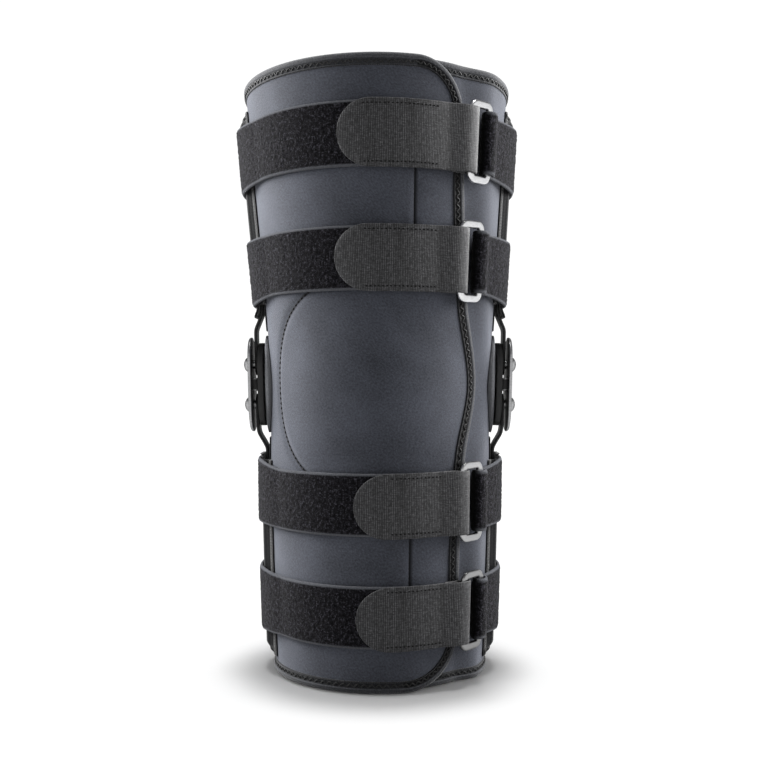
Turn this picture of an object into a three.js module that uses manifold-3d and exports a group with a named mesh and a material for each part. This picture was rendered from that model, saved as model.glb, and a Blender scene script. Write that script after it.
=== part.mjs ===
// Hinged knee brace. A neoprene wrap closes round the leg with a bound front flap, four
// cinch straps hold it through metal rings, and each side carries a two-pivot hinge whose
// flat bars run up and down in fabric pockets.
// Millimetres, +Z up. The brace stands on its lower hem and its front faces -Y.
import * as THREE from "three";
import { mergeVertices } from "three/addons/utils/BufferGeometryUtils.js";
import Module from "manifold-3d";

const wasm = await Module();
wasm.setup();
const { clamp, degToRad, radToDeg, lerp, smoothstep, euclideanModulo } = THREE.MathUtils;

// Driving sizes
const HEIGHT = 400;
const KNEE = 197; // height of the hinge centres and of the kneecap panel
const GAP = 0.3; // clearance between neighbouring pieces

// Wrap: one neoprene panel that overlaps itself at the front
const WALL = 3;
const TAPE = 0.8; // thickness of the edge binding
const TAPE_COVER = 7; // how far the binding reaches over each face of the wrap
const TAPE_ROOM = 0.7; // clearance between the binding and the faces it folds over
const HEM = TAPE + GAP; // the binding's share of the height at each end
const LAYER_STEP = WALL + 2 * (TAPE + TAPE_ROOM) + 2 * GAP; // from the flap down to the panel under it
const UNDER_RISE = { from: 3, to: 22 }; // degrees past the flap's edge where the under panel comes up
const DOME = { azimuth: -8, radius: 68, height: 4.5 }; // kneecap panel
const WRAP_COLUMNS = [
  { from: -20, columns: 6 }, // hidden panel under the flap
  { from: 40, columns: 7 }, // where that panel comes up beside the flap
  { from: 80, columns: 24 }, // round the back
  { from: 345, columns: 7 }, // the flap, up to its edge
]; // degrees round from the front
const WRAP_ROWS = [70, 102, 134, 166, KNEE, 228, 258, 296, 332]; // between the flap's corners

// Outer face of the wrap, by height
const LEG_SECTIONS = [
  { height: 0, halfWidth: 72.3, halfDepth: 68.8, shiftX: 2.2 },
  { height: 50, halfWidth: 74.2, halfDepth: 71.2, shiftX: 2.2 },
  { height: 100, halfWidth: 75.6, halfDepth: 73.6, shiftX: 2.2 },
  { height: 150, halfWidth: 76.2, halfDepth: 75.4, shiftX: 2.2 },
  { height: KNEE, halfWidth: 76.3, halfDepth: 76.6, shiftX: 2.2 },
  { height: 244, halfWidth: 79.2, halfDepth: 80.4, shiftX: 2.1 },
  { height: 320, halfWidth: 85.2, halfDepth: 87.6, shiftX: 0.7 },
  { height: HEIGHT, halfWidth: 91, halfDepth: 95.4, shiftX: -0.4 },
];

// Front flap: how far its bound edge lies past the front centre line, along the surface
const FLAP_EDGE = [
  { height: 0, reach: 52 },
  { height: 50, reach: 55 },
  { height: 100, reach: 57 },
  { height: 150, reach: 62 },
  { height: KNEE, reach: 74 },
  { height: 250, reach: 63.5 },
  { height: 320, reach: 61 },
  { height: HEIGHT, reach: 60.5 },
];
const TOP_CORNER = { across: 33, up: 33 };
const BOTTOM_CORNER = { across: 36, up: 34 };
const CORNER_STEPS = 4;

// Side bars in their pockets, with levels measured outward from the wrap's face
const SIDES = [
  { name: "left", azimuth: -90, sign: -1 },
  { name: "right", azimuth: 90, sign: 1 },
];
// A bar bends in at bend above or below the hinge's centre, meets the wrap at the height landing
// and stops at end. Its pocket runs from mouth to tip, and its backing from strip to end.
const BAR_RUNS = [
  { name: "upper", way: 1, bend: 38, landing: 247, end: 372, mouth: 243, tip: 383, strip: 234 },
  { name: "lower", way: -1, bend: 33, landing: 153, end: 22, mouth: 149, tip: 11, strip: 160 },
];
const BACKING = { halfWidth: 12, inner: 0.25, outer: 1.05, columns: 4 };
const BAR = { width: 15, level: 2.4, thickness: 2 };
const POCKET = { halfWidth: 21, foot: 16, crown: 11.5, lift: 3.9, thickness: 1.5 };
const POCKET_MOUTHS = {
  upper: { length: 7, flare: 2.6 },
  lower: { length: 2, flare: 1.6 },
};
const POCKET_PAST_BAR = 2;
const RUN_STEPS = 4;

// Hinges: levels are measured outward from the wrap's side at knee height
const HINGE_TILT = degToRad(1.5);
const PAD = { inner: 0.5, outer: 3.7, halfWidth: 20.5, halfHeight: 34, edgeDrop: 1.2, rows: 6, columns: 4 };
const INNER_PLATE = { from: 4, to: 8, height: 58 };
const ARM_LEVEL = 9.6;
const OUTER_PLATE = { from: 12.5, to: 14.6, height: 66 };
const PLATE_WIDTH = 34;
const PLATE_BEVEL = 0.8;
const PIVOT_RISE = 14;
const RIVET = { shaft: 3, head: 5.5, dome: 4, sides: 8, domeSteps: 3 };
const RIVET_HOLE = RIVET.shaft + GAP;
const SPACER = { width: 26, height: 9 };

// Straps, from the thigh down. Azimuths are degrees from the front, positive towards +X, and
// lift is how much higher a band lies at the sides and back than at the front. tabDrop is how much
// lower a tab lies at its round end than at its ring.
const STRAPS = [
  { name: "thigh_upper", height: 351, ringAzimuth: 45.1, tabEnd: -15.7, tabDrop: 0, lift: -1 },
  { name: "thigh_lower", height: 275.5, ringAzimuth: 42.5, tabEnd: -18.9, tabDrop: 0, lift: -3 },
  { name: "calf_upper", height: 121, ringAzimuth: 47, tabEnd: -12.2, tabDrop: 1.2, lift: 3.5 },
  { name: "calf_lower", height: 49.5, ringAzimuth: 49, tabEnd: -11.4, tabDrop: 1.2, lift: 0.5 },
];
const STRAP_HALF = 20; // half the width of a band
const BAND = { thickness: 2.2, rest: 0.8, foldBack: 7, step: 8, widening: 2.2 };
const SIDE_TURN = { from: 55, to: 88 }; // degrees from the front where a band widens and lifts
const TAB = { half: 20.7, thickness: 1.2, lay: 0.5, start: 13, settle: 18, step: 8 };
const RING = { width: 21.5, height: 52, bar: 4.9, thickness: 3.2, corner: 6, bevel: 0.8, clearance: 0.8 };
const BAR_LEVEL = BAND.rest + BAND.thickness + RING.clearance + RING.thickness / 2; // ring bars off the wrap
const FOLD_STEPS = 5;
const ROUND_SWEEP = degToRad(84); // how far a rounded outline turns before its blunt end

const material = (color, roughness, metalness = 0) =>
  new THREE.MeshStandardMaterial({ color, roughness, metalness });
const FINISH = {
  neoprene: material(0x4a4c55, 0.85),
  binding: material(0x1e1e21, 0.8),
  loop: material(0x1b1b1e, 0.95),
  webbing: material(0x3c3c3e, 0.7),
  ring: material(0xc9cacd, 0.35, 0.9),
  pocket: material(0x242427, 0.9),
  pad: material(0x3a3b42, 0.85),
  bar: material(0x232325, 0.4, 0.6),
  plate: material(0x1c1c1e, 0.35, 0.5),
  rivet: material(0xb9babd, 0.3, 0.9),
};

const brace = new THREE.Group();

function add(name, geometry, finish, parent = brace) {
  const mesh = new THREE.Mesh(geometry, finish);
  mesh.name = name;
  parent.add(mesh);
}

const steps = (count) => Array.from({ length: count + 1 }, (_, k) => k / count);

// Leg form

// Reads one column of a table sorted by height, on a smooth curve through its rows.
function readTable(table, column, height) {
  const last = table.length - 1;
  let i = 0;
  while (i < last - 1 && height > table[i + 1].height) i += 1;
  const slope = (k) => {
    const before = table[Math.max(k - 1, 0)];
    const after = table[Math.min(k + 1, last)];
    return (after[column] - before[column]) / (after.height - before.height);
  };
  const span = table[i + 1].height - table[i].height;
  const t = (height - table[i].height) / span;
  const rise = table[i + 1][column] - table[i][column];
  const bend = t * (1 - t) * span * ((1 - t) * slope(i) - t * slope(i + 1));
  return table[i][column] + rise * t * t * (3 - 2 * t) + bend;
}

const halfWidth = (z) => readTable(LEG_SECTIONS, "halfWidth", z);
const halfDepth = (z) => readTable(LEG_SECTIONS, "halfDepth", z);
const shiftX = (z) => readTable(LEG_SECTIONS, "shiftX", z);
const legRadius = (z) => (halfWidth(z) + halfDepth(z)) / 2;
const toDegrees = (arc, z) => radToDeg(arc / legRadius(z));
const toArc = (degrees, z) => degToRad(degrees) * legRadius(z);

// Height of the kneecap panel's dome over the plain leg form.
function domeHeight(azimuth, z) {
  const turned = euclideanModulo(azimuth - DOME.azimuth + 180, 360) - 180;
  const away = Math.hypot(toArc(turned, KNEE), z - KNEE) / DOME.radius;
  return away < 1 ? DOME.height * (1 - away * away) ** 2 : 0;
}

// Which way the leg form faces, as an angle from the front.
function facing(azimuth, z) {
  const angle = degToRad(azimuth);
  return Math.atan2(Math.sin(angle) / halfWidth(z), Math.cos(angle) / halfDepth(z));
}

// A point off the leg form's face. Azimuth 0 is the front and 90 the side towards +X.
function legPoint(azimuth, z, level) {
  const angle = degToRad(azimuth);
  const out = level + domeHeight(azimuth, z);
  const turn = facing(azimuth, z);
  const x = shiftX(z) + halfWidth(z) * Math.sin(angle) + out * Math.sin(turn);
  const y = -halfDepth(z) * Math.cos(angle) - out * Math.cos(turn);
  return new THREE.Vector3(x, y, z);
}

// Solids

// A closed solid between two facing grids of points, joined round their rim.
function sheetSolid(front, back) {
  const rows = front.length;
  const columns = front[0].length;
  const points = [...front.flat(), ...back.flat()];
  const at = (side, r, c) => (side * rows + r) * columns + c;
  const index = [];
  const quad = (a, b, c, d) => index.push(a, b, c, a, c, d);
  for (let r = 0; r < rows - 1; r += 1) {
    for (let c = 0; c < columns - 1; c += 1) {
      quad(at(0, r, c), at(0, r, c + 1), at(0, r + 1, c + 1), at(0, r + 1, c));
      quad(at(1, r, c), at(1, r + 1, c), at(1, r + 1, c + 1), at(1, r, c + 1));
    }
    quad(at(0, r, 0), at(0, r + 1, 0), at(1, r + 1, 0), at(1, r, 0));
    const end = columns - 1;
    quad(at(0, r + 1, end), at(0, r, end), at(1, r, end), at(1, r + 1, end));
  }
  for (let c = 0; c < columns - 1; c += 1) {
    const end = rows - 1;
    quad(at(0, 0, c + 1), at(0, 0, c), at(1, 0, c), at(1, 0, c + 1));
    quad(at(0, end, c), at(0, end, c + 1), at(1, end, c + 1), at(1, end, c));
  }
  const geometry = new THREE.BufferGeometry().setFromPoints(points);
  geometry.setIndex(signedVolume(points, index) < 0 ? index.reverse() : index);
  return geometry;
}

function signedVolume(points, index) {
  let sum = 0;
  for (let i = 0; i < index.length; i += 3) {
    const [a, b, c] = [points[index[i]], points[index[i + 1]], points[index[i + 2]]];
    sum += a.dot(b.clone().cross(c)) / 6;
  }
  return sum;
}

const MERGE_DISTANCE = 1e-4;

function toSolid(geometry) {
  geometry.deleteAttribute("normal");
  geometry.deleteAttribute("uv");
  const merged = mergeVertices(geometry, MERGE_DISTANCE);
  const vertProperties = new Float32Array(merged.getAttribute("position").array);
  const triVerts = new Uint32Array(merged.getIndex().array);
  return new wasm.Manifold(new wasm.Mesh({ numProp: 3, vertProperties, triVerts }));
}

function intersection(a, b) {
  const mesh = toSolid(a).intersect(toSolid(b)).getMesh();
  const geometry = new THREE.BufferGeometry();
  geometry.setAttribute("position", new THREE.BufferAttribute(mesh.vertProperties, 3));
  geometry.setIndex(new THREE.BufferAttribute(mesh.triVerts, 1));
  return geometry;
}

// Points half a thickness to either side of a flat line, with mitred corners.
function offsetLine(line, half) {
  const side = (sign) =>
    line.map((point, k) => {
      const before = point.clone().sub(line[Math.max(k - 1, 0)]).normalize();
      const after = line[Math.min(k + 1, line.length - 1)].clone().sub(point).normalize();
      const along = before.clone().add(after).normalize();
      const mitre = Math.max(along.dot(before), along.dot(after));
      return new THREE.Vector2(-along.y, along.x).multiplyScalar((sign * half) / mitre).add(point);
    });
  return [side(1), side(-1)];
}

// Turns a shape's plane: its x, y and thickness run along these three directions.
function faceAlong(geometry, x, y, thickness) {
  return geometry.applyMatrix4(new THREE.Matrix4().makeBasis(x, y, thickness));
}

const X = new THREE.Vector3(1, 0, 0);
const Y = new THREE.Vector3(0, 1, 0);
const Z = new THREE.Vector3(0, 0, 1);

// Wrap and its binding

// How far round a rounded corner a height lies: 0 on the straight edge, 1 at the rim.
function cornerShare(z) {
  const high = (z - (HEIGHT - HEM - TOP_CORNER.up)) / TOP_CORNER.up;
  const low = (HEM + BOTTOM_CORNER.up - z) / BOTTOM_CORNER.up;
  return Math.min(1, Math.max(0, high, low));
}

const cornerAt = (z) => (z > HEIGHT / 2 ? TOP_CORNER : BOTTOM_CORNER);

// Azimuth of the neoprene's own edge on the flap.
function flapAzimuth(z) {
  const cosine = Math.sqrt(1 - cornerShare(z) ** 2);
  const reach = readTable(FLAP_EDGE, "reach", z) - HEM - cornerAt(z).across * (1 - cosine);
  return toDegrees(reach, z);
}

// A point of the wrap. The turn runs from the hidden inner end, once round the leg, to the flap.
function wrapPoint(turn, z, level) {
  const edge = toDegrees(readTable(FLAP_EDGE, "reach", z), z);
  const sunk = LAYER_STEP * (1 - smoothstep(turn, edge + UNDER_RISE.from, edge + UNDER_RISE.to));
  return legPoint(turn, z, level - sunk);
}

// Rows run up the leg, closer together where the flap's corners turn.
function wrapHeights() {
  const quarter = steps(CORNER_STEPS).map((share) => 1 - Math.sin((share * Math.PI) / 2));
  const bottom = quarter.map((rest) => HEM + BOTTOM_CORNER.up * rest).reverse();
  const top = quarter.map((rest) => HEIGHT - HEM - TOP_CORNER.up * rest);
  return [...bottom, ...WRAP_ROWS, ...top];
}

const flapTurn = (z) => 360 + flapAzimuth(z);

function wrapTurns(z) {
  return WRAP_COLUMNS.flatMap(({ from, columns }, k) => {
    const to = WRAP_COLUMNS[k + 1]?.from ?? flapTurn(z);
    return steps(columns).slice(Math.min(k, 1)).map((share) => lerp(from, to, share));
  });
}

function makeWrap() {
  const grid = (level) => wrapHeights().map((z) => wrapTurns(z).map((turn) => wrapPoint(turn, z, level)));
  return sheetSolid(grid(0), grid(-WALL));
}

// A place on the panel's edge, with the way from there into the panel along its face.
function rimPlaces(z, inwardUp) {
  const last = flapTurn(z) - toDegrees(GAP, z); // room for the flap's own binding
  const inward = new THREE.Vector2(0, inwardUp);
  return wrapTurns(z).map((turn) => ({ turn: Math.min(turn, last), z, inward }));
}

function flapPlaces() {
  return wrapHeights().map((z) => {
    const sine = cornerShare(z);
    const cosine = Math.sqrt(1 - sine ** 2);
    const { across, up } = cornerAt(z);
    const slope = readTable(FLAP_EDGE, "reach", z + 1) - readTable(FLAP_EDGE, "reach", z);
    const turnUp = Math.sign(z - HEIGHT / 2) * ((sine * across) / up);
    const outward = new THREE.Vector2(cosine, turnUp - slope * cosine).normalize();
    return { turn: flapTurn(z), z, inward: outward.negate() };
  });
}

// A tape folded over the panel's edge. Depth runs into the panel and level out of its face.
function bindingTape(places) {
  const cover = TAPE_COVER;
  const inside = [
    { depth: cover, level: TAPE_ROOM },
    { depth: -GAP, level: TAPE_ROOM },
    { depth: -GAP, level: -WALL - TAPE_ROOM },
    { depth: cover, level: -WALL - TAPE_ROOM },
  ];
  const outside = [
    { depth: cover, level: TAPE_ROOM + TAPE },
    { depth: -HEM, level: TAPE_ROOM },
    { depth: -HEM, level: -WALL - TAPE_ROOM },
    { depth: cover, level: -WALL - TAPE_ROOM - TAPE },
  ];
  const grid = (profile) =>
    profile.map(({ depth, level }) =>
      places.map(({ turn, z, inward }) =>
        wrapPoint(turn + toDegrees(inward.x * depth, z), z + inward.y * depth, level),
      ),
    );
  return sheetSolid(grid(outside), grid(inside));
}

// Straps

// A strip of webbing: stations along its length, each with its arc, level, half width and rise.
function strapStrip(stations, centre, thickness) {
  const line = stations.map(({ arc, level }) => new THREE.Vector2(arc, level));
  const faces = offsetLine(line, thickness / 2);
  const [front, back] = faces.map((face) =>
    [-1, 1].map((edge) =>
      face.map((point, k) => {
        const z = centre + stations[k].rise + edge * stations[k].half;
        return legPoint(toDegrees(point.x, centre), z, point.y);
      }),
    ),
  );
  return sheetSolid(front, back);
}

const station = (arc, level, half = STRAP_HALF, rise = 0) => ({ arc, level, half, rise });

// The ring's flat frame touches the same level at both of its upright bars.
function ringSeat({ height, ringAzimuth }) {
  const offset = (RING.width - RING.bar) / 2;
  const barRadius = legRadius(height) + BAR_LEVEL;
  const swing = radToDeg(Math.asin(offset / barRadius));
  return {
    level: Math.sqrt(barRadius ** 2 - offset ** 2) - legRadius(height),
    left: toArc(ringAzimuth - swing, height),
    right: toArc(ringAzimuth + swing, height),
  };
}

// Half a turn round a ring's bar, from above it to below it on the given side.
function foldRound(arc, side, thickness) {
  const reach = RING.thickness / 2 + RING.clearance + thickness / 2;
  const middle = arc + side * ((RING.bar - RING.thickness) / 2);
  return steps(FOLD_STEPS).map((share) => {
    const angle = Math.PI * (0.5 - share);
    return station(middle + side * reach * Math.cos(angle), BAR_LEVEL + reach * Math.sin(angle));
  });
}

// Even stations between two azimuths at one level.
function lyingRun(from, to, z, level, step) {
  const count = Math.max(1, Math.round(Math.abs(to - from) / step));
  return steps(count).map((share) => station(toArc(lerp(from, to, share), z), level));
}

// 0 at the front of the brace, 1 at its sides and back.
function sideShare(azimuth) {
  const fromFront = Math.abs(euclideanModulo(azimuth + 180, 360) - 180);
  return smoothstep(fromFront, SIDE_TURN.from, SIDE_TURN.to);
}

// The band folds round the ring, then goes over one pocket, the back and the other pocket to
// the front, where it ends under the tab. It runs straight from each pocket down to the wrap and
// is a little wider at the sides and back.
function makeBand(strap) {
  const z = strap.height;
  const half = BAND.thickness / 2;
  const rest = BAND.rest + half;
  const { left, right } = ringSeat(strap);
  const fold = foldRound(right, -1, BAND.thickness);
  const foldEnd = station(right + BAND.foldBack, BAR_LEVEL + GAP);
  const foldTop = station(right + RING.bar / 2, fold[0].level);
  const crownLevel = POCKET.lift + crownSag(z) + POCKET.thickness + GAP;
  const shoulder = toDegrees(POCKET.crown + GAP, z);
  const wrapRadius = legRadius(z) + BAND.rest;
  const drop = radToDeg(Math.acos(wrapRadius / (wrapRadius - BAND.rest + crownLevel)));
  const clear = shoulder + drop;
  const over = (azimuth) =>
    [-shoulder, shoulder].map((turn) => station(toArc(azimuth + turn, z), crownLevel + half));
  const run = (from, to) => lyingRun(from, to, z, rest, BAND.step);
  const end = 360 + toDegrees(left - TAB.start - 2 * GAP, z);
  const stations = [
    foldEnd,
    foldTop,
    ...fold,
    ...run(toDegrees(right + RING.bar / 2, z), 90 - clear),
    ...over(90),
    ...run(90 + clear, 270 - clear),
    ...over(270),
    ...run(270 + clear, end),
  ];
  const shaped = stations.map(({ arc, level }) => {
    const share = sideShare(toDegrees(arc, z));
    return station(arc, level, STRAP_HALF + BAND.widening * share, strap.lift * share);
  });
  return strapStrip(shaped, z, BAND.thickness);
}

// The tab starts at the band's end, folds through the ring and lies back over the band to a
// half-round end, sinking a little on the way.
function makeTab(strap) {
  const z = strap.height;
  const half = TAB.thickness / 2;
  const { left } = ringSeat(strap);
  const fold = foldRound(left, 1, TAB.thickness).reverse();
  const top = fold.at(-1).level;
  const lying = BAND.rest + BAND.thickness + TAB.lay + half;
  const leave = left - RING.bar / 2;
  const settled = left - TAB.settle;
  const slope = [0, 1 / 3, 2 / 3].map((share) =>
    station(lerp(leave, settled, share), lerp(top, lying, smoothstep(share, 0, 1))),
  );
  const endArc = toArc(strap.tabEnd, z);
  const run = lyingRun(toDegrees(settled, z), toDegrees(endArc + TAB.half, z), z, lying, TAB.step);
  const round = steps(FOLD_STEPS).slice(1).map((share) => {
    const angle = ROUND_SWEEP * share;
    return station(endArc + TAB.half * (1 - Math.sin(angle)), lying, TAB.half * Math.cos(angle));
  });
  const straight = [
    station(left - TAB.start, fold[0].level),
    station(left - TAB.start / 2, fold[0].level),
    ...fold,
    ...slope,
    ...run,
  ];
  const full = straight.map(({ arc, level }) => station(arc, level, TAB.half));
  const sunk = [...full, ...round].map((place) => {
    const share = clamp((settled - place.arc) / (settled - endArc), 0, 1);
    return { ...place, rise: -strap.tabDrop * share };
  });
  return strapStrip(sunk, z, TAB.thickness);
}

function roundedRectangle(Kind, width, height, corner) {
  const x = width / 2 - corner;
  const y = height / 2 - corner;
  const outline = new Kind();
  outline.absarc(x, y, corner, 0, Math.PI / 2);
  outline.absarc(-x, y, corner, Math.PI / 2, Math.PI);
  outline.absarc(-x, -y, corner, Math.PI, 1.5 * Math.PI);
  outline.absarc(x, -y, corner, 1.5 * Math.PI, 2 * Math.PI);
  return outline;
}

// An upright outline with half-round ends.
function roundEnded(width, height) {
  const radius = width / 2;
  const y = height / 2 - radius;
  const outline = new THREE.Shape();
  outline.absarc(0, y, radius, 0, Math.PI);
  outline.absarc(0, -y, radius, Math.PI, 2 * Math.PI);
  return outline;
}

function makeRing() {
  const { width, height, bar, thickness, corner, bevel } = RING;
  const shape = roundedRectangle(THREE.Shape, width, height, corner);
  shape.holes.push(roundedRectangle(THREE.Path, width - 2 * bar, height - 2 * bar, corner - bar));
  const geometry = new THREE.ExtrudeGeometry(shape, {
    depth: thickness - 2 * bevel,
    bevelThickness: bevel,
    bevelSize: bevel,
    bevelOffset: -bevel,
    bevelSegments: 1,
    curveSegments: 2,
  });
  geometry.translate(0, 0, bevel - thickness / 2);
  return faceAlong(geometry, X, Z, Y.clone().negate());
}

function seatRing(strap) {
  const { height, ringAzimuth, name } = strap;
  const turn = facing(ringAzimuth, height);
  const low = legPoint(ringAzimuth, height - STRAP_HALF, 0);
  const up = legPoint(ringAzimuth, height + STRAP_HALF, 0).sub(low).normalize();
  const inward = up.clone().cross(new THREE.Vector3(Math.cos(turn), Math.sin(turn), 0)).normalize();
  const across = inward.clone().cross(up);
  const seat = new THREE.Group();
  seat.position.copy(legPoint(ringAzimuth, height, ringSeat(strap).level));
  seat.quaternion.setFromRotationMatrix(new THREE.Matrix4().makeBasis(across, inward, up));
  brace.add(seat);
  add(`strap_${name}_ring`, makeRing(), FINISH.ring, seat);
}

// Pockets, backings and bars

const crownSag = (z) => POCKET.crown ** 2 / (2 * legRadius(z)); // keeps a pocket's crown flat
const acrossSide = (side, arc, z, level) => legPoint(side.azimuth + toDegrees(arc, z), z, level);

// The pocket arches over its bar on two flat feet and closes down past the bar's end.
function makePocket(side, run) {
  const { halfWidth: edge, foot, crown, thickness } = POCKET;
  const arcs = [-edge, -foot, -crown, 0, crown, foot, edge];
  const mouth = POCKET_MOUTHS[run.name];
  const throat = run.mouth + run.way * mouth.length;
  const closing = run.end + run.way * POCKET_PAST_BAR;
  const inside = steps(RUN_STEPS).map((share) => ({ z: lerp(throat, closing, share), lift: POCKET.lift }));
  const sections = [
    { z: run.mouth, lift: POCKET.lift + mouth.flare },
    ...inside,
    { z: run.tip, lift: GAP },
  ];
  const level = (arc, lift, z) => {
    if (Math.abs(arc) > crown) return GAP;
    return arc === 0 ? lift : lift + crownSag(z);
  };
  const grid = (added) =>
    sections.map(({ z, lift }) => arcs.map((arc) => acrossSide(side, arc, z, level(arc, lift, z) + added)));
  return sheetSolid(grid(thickness), grid(0));
}

function makeBacking(side, run) {
  const arcs = steps(BACKING.columns).map((share) => lerp(-BACKING.halfWidth, BACKING.halfWidth, share));
  const heights = steps(RUN_STEPS).map((share) => lerp(run.strip, run.end, share));
  const grid = (level) => heights.map((z) => arcs.map((arc) => acrossSide(side, arc, z, level)));
  return sheetSolid(grid(BACKING.outer), grid(BACKING.inner));
}

// Hinge frame: out from the wrap's side and up along the tilted plates, as a place in X and Z.
function hingePlace(side, out, up) {
  const tilt = HINGE_TILT;
  const x = halfWidth(KNEE) + out * Math.cos(tilt) + up * Math.sin(tilt);
  const z = KNEE - out * Math.sin(tilt) + up * Math.cos(tilt);
  return new THREE.Vector2(shiftX(KNEE) + side.sign * x, z);
}

// The bar's side view, swept across its width, is cut to the bar's round-ended front view.
function makeBar(side, run) {
  const radius = BAR.width / 2;
  const onWrap = steps(RUN_STEPS).map((share) => {
    const z = lerp(run.landing, run.end, share);
    return new THREE.Vector2(legPoint(side.azimuth, z, BAR.level).x, z);
  });
  const nearEnd = hingePlace(side, ARM_LEVEL, run.way * (PIVOT_RISE - BAR.width));
  const bend = hingePlace(side, ARM_LEVEL, run.way * run.bend);
  const [one, other] = offsetLine([nearEnd, bend, ...onWrap], BAR.thickness / 2);
  const profile = new THREE.ExtrudeGeometry(new THREE.Shape([...one, ...other.reverse()]), {
    depth: BAR.width,
    bevelEnabled: false,
  });
  faceAlong(profile, X, Z, Y.clone().negate()).translate(0, radius, 0);
  const pivot = hingePlace(side, ARM_LEVEL, run.way * PIVOT_RISE).y;
  const length = Math.abs(run.end - pivot) + radius;
  const middle = pivot + run.way * (length / 2 - radius);
  const outline = roundEnded(BAR.width, length);
  const hole = new THREE.Path().absarc(0, pivot - middle, RIVET_HOLE, 0, 2 * Math.PI);
  outline.holes.push(hole);
  const depth = HEIGHT; // deep enough to pass right through the bar
  const front = new THREE.ExtrudeGeometry(outline, { depth, bevelEnabled: false, curveSegments: 4 });
  faceAlong(front, Y, Z, X).translate(-depth / 2, 0, middle);
  return intersection(profile, front);
}

// Hinges

function makePlate({ from, to, height }) {
  const bevel = PLATE_BEVEL;
  const shape = roundEnded(PLATE_WIDTH, height);
  [-PIVOT_RISE, PIVOT_RISE].forEach((rise) => {
    shape.holes.push(new THREE.Path().absarc(0, rise, RIVET_HOLE, 0, 2 * Math.PI));
  });
  const geometry = new THREE.ExtrudeGeometry(shape, {
    depth: to - from - 2 * bevel,
    bevelThickness: bevel,
    bevelSize: bevel,
    bevelOffset: -bevel,
    bevelSegments: 1,
    curveSegments: 4,
  });
  return faceAlong(geometry, Y, Z, X).translate(from + bevel, 0, 0);
}

// The pad lies on the curved wrap and is flat where the inner plate presses on it.
function makePad(side) {
  const slant = Math.tan(HINGE_TILT);
  const angles = steps(PAD.rows).map((share) => lerp(-ROUND_SWEEP, ROUND_SWEEP, share));
  const across = steps(PAD.columns).map((share) => lerp(-1, 1, share));
  const grid = (outer) =>
    angles.map((angle) => {
      const up = PAD.halfHeight * Math.sin(angle);
      return across.map((share) => {
        const point = acrossSide(side, share * PAD.halfWidth * Math.cos(angle), KNEE + up, PAD.inner);
        const face = halfWidth(KNEE) + PAD.outer + up * slant - PAD.edgeDrop * share ** 2;
        return outer ? point.setX(shiftX(KNEE) + side.sign * face) : point;
      });
    });
  return sheetSolid(grid(true), grid(false));
}

function makeRivet() {
  const { shaft, head, dome, sides, domeSteps } = RIVET;
  const seat = OUTER_PLATE.to + GAP;
  const crown = steps(domeSteps).slice(1).map((share) => {
    const angle = (share * Math.PI) / 2;
    return new THREE.Vector2(share === 1 ? 0 : head * Math.cos(angle), seat + dome * Math.sin(angle));
  });
  const profile = [
    new THREE.Vector2(0, INNER_PLATE.from),
    new THREE.Vector2(shaft, INNER_PLATE.from),
    new THREE.Vector2(shaft, seat),
    new THREE.Vector2(head, seat),
    ...crown,
  ];
  return faceAlong(new THREE.LatheGeometry(profile, sides), Y, X, Z.clone().negate());
}

function makeSpacer() {
  const from = INNER_PLATE.to + GAP;
  const length = OUTER_PLATE.from - GAP - from;
  const geometry = new THREE.BoxGeometry(length, SPACER.width, SPACER.height);
  return geometry.translate(from + length / 2, 0, 0);
}

function addHinge(side) {
  const turned = new THREE.Group();
  turned.position.set(shiftX(KNEE), 0, KNEE);
  turned.rotation.z = side.sign > 0 ? 0 : Math.PI;
  const frame = new THREE.Group();
  frame.position.x = halfWidth(KNEE);
  frame.rotation.y = HINGE_TILT;
  turned.add(frame);
  brace.add(turned);
  const name = `hinge_${side.name}`;
  add(`${name}_pad`, makePad(side), FINISH.pad);
  add(`${name}_inner_plate`, makePlate(INNER_PLATE), FINISH.plate, frame);
  add(`${name}_outer_plate`, makePlate(OUTER_PLATE), FINISH.plate, frame);
  add(`${name}_spacer`, makeSpacer(), FINISH.rivet, frame);
  BAR_RUNS.forEach((run) => {
    add(`${name}_${run.name}_bar`, makeBar(side, run), FINISH.bar);
    const rivet = makeRivet().translate(0, 0, run.way * PIVOT_RISE);
    add(`${name}_${run.name}_rivet`, rivet, FINISH.rivet, frame);
  });
}

// Assembly

add("wrap", makeWrap(), FINISH.neoprene);
add("binding_top", bindingTape(rimPlaces(HEIGHT - HEM, -1)), FINISH.binding);
add("binding_flap", bindingTape(flapPlaces()), FINISH.binding);
add("binding_bottom", bindingTape(rimPlaces(HEM, 1)), FINISH.binding);

STRAPS.forEach((strap) => {
  add(`strap_${strap.name}_band`, makeBand(strap), FINISH.loop);
  add(`strap_${strap.name}_tab`, makeTab(strap), FINISH.webbing);
  seatRing(strap);
});

SIDES.forEach((side) => {
  addHinge(side);
  BAR_RUNS.forEach((run) => {
    add(`pocket_${side.name}_${run.name}`, makePocket(side, run), FINISH.pocket);
    add(`backing_${side.name}_${run.name}`, makeBacking(side, run), FINISH.pocket);
  });
});

export default brace;
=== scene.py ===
"""A hinged knee brace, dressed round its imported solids. Sizes are millimetres until a mesh is made."""
from types import SimpleNamespace as Sizes

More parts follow.
